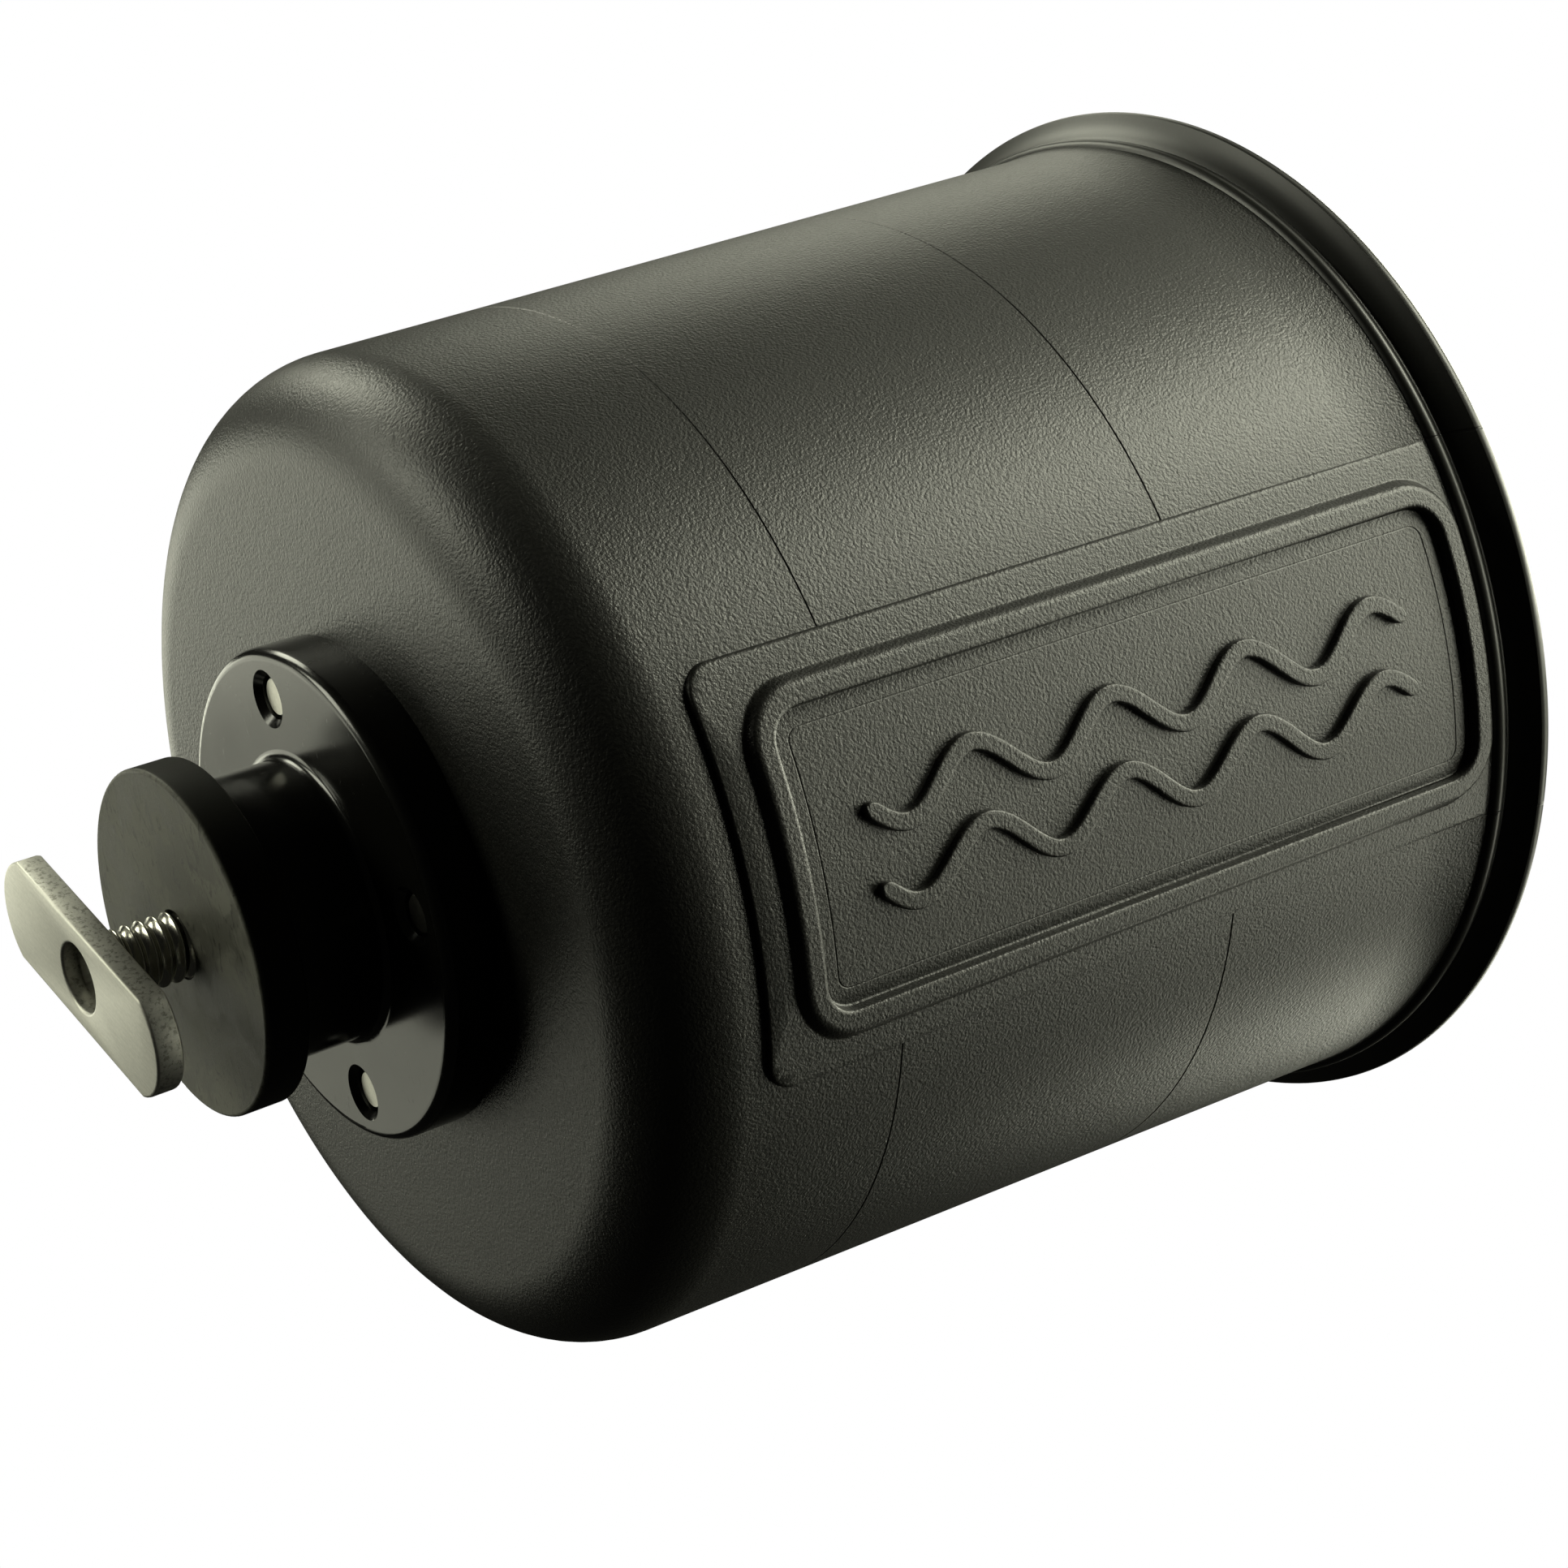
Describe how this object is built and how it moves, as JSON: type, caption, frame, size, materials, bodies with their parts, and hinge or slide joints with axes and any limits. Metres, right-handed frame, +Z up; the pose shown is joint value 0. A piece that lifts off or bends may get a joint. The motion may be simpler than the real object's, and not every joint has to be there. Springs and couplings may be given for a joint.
{
  "type": "track-mount cup holder",
  "caption": "Tapered drink holder on a flanged neck, clamped to a deck track by a bolt, a rubber washer and a sliding track plate.",
  "frame": {"origin": "centre of the rubber washer's underside, the face that rests on the track", "axes": "+Z up the cup's centre line towards its mouth; -Y faces the badge; +X to the right of it"},
  "size_m": [0.1044, 0.1044, 0.1255],
  "materials": {
    "cup_plastic": "fine spark-eroded grain",
    "base_plastic": "smooth, semi-gloss",
    "washer_rubber": "matt, lightly scuffed",
    "stainless_bolt": "bright rolled thread",
    "stainless_small": "bright",
    "stainless_plate": "tumbled, matt"
  },
  "bodies": {
    "holder": {"cup_shell": "cup_plastic", "mount_base": "base_plastic", "friction_washer": "washer_rubber", "bolt_washer": "stainless_small", "base_screw_1": "stainless_small", "base_screw_2": "stainless_small", "base_screw_3": "stainless_small", "base_screw_4": "stainless_small"},
    "bolt": {"mount_bolt": "stainless_bolt"},
    "plate": {"track_plate": "stainless_plate"}
  },
  "joints": [
    {"name": "plate_slide", "type": "slide", "parent": "holder", "child": "plate", "axis": [0, 0, 1], "range_m": [0, 0.00673]},
    {"name": "bolt_turn", "type": "hinge", "parent": "holder", "child": "bolt", "pos_m": [0, 0, 0], "axis": [0, 0, -1], "range_deg": [0, 1909]}
  ],
  "couplings": [
    {"joint": "bolt_turn", "follows": "plate_slide", "rad_per_m": 4947.4}
  ]
}
